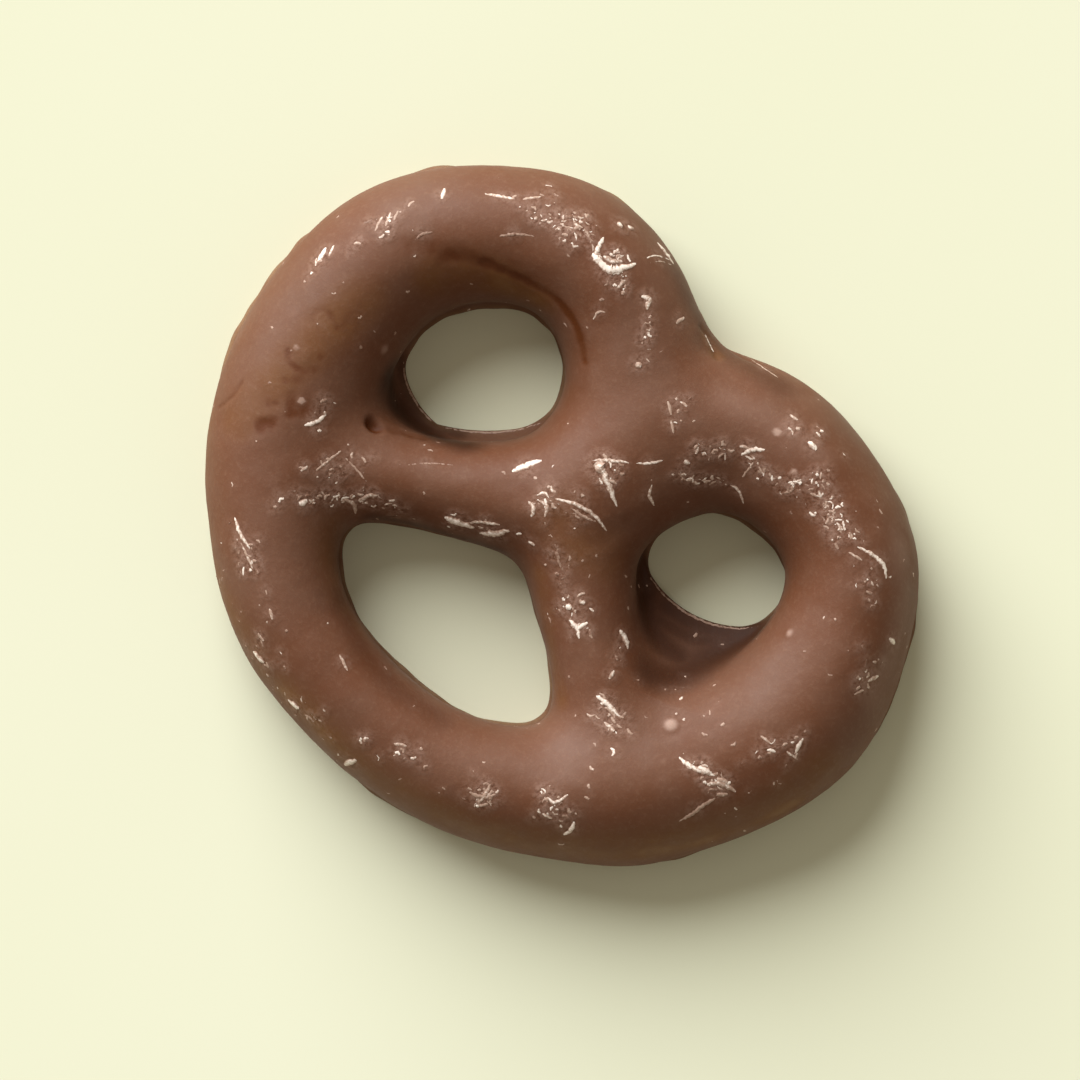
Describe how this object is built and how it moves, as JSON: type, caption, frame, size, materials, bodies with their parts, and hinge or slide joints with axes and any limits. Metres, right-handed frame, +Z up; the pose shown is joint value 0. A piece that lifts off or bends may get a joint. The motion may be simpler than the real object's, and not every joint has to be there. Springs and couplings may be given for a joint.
{
  "type": "chocolate-covered pretzel",
  "caption": "Milk-chocolate-coated pretzel twist lying flat: a looped strand with crossed arms, open holes and a flat base, eaten as a snack.",
  "frame": {"origin": "middle of the bounding box on the flat base", "axes": "+Z up out of the base, +Y towards the notch between the two lobes, +X across the lobes, towards the right one"},
  "size_m": [0.045, 0.0357, 0.0076],
  "materials": {
    "milk_chocolate": "satin milk chocolate coating, slightly mottled, with scuffs and pale flecks"
  },
  "bodies": {
    "root": {"pretzel": "milk_chocolate"}
  },
  "joints": []
}
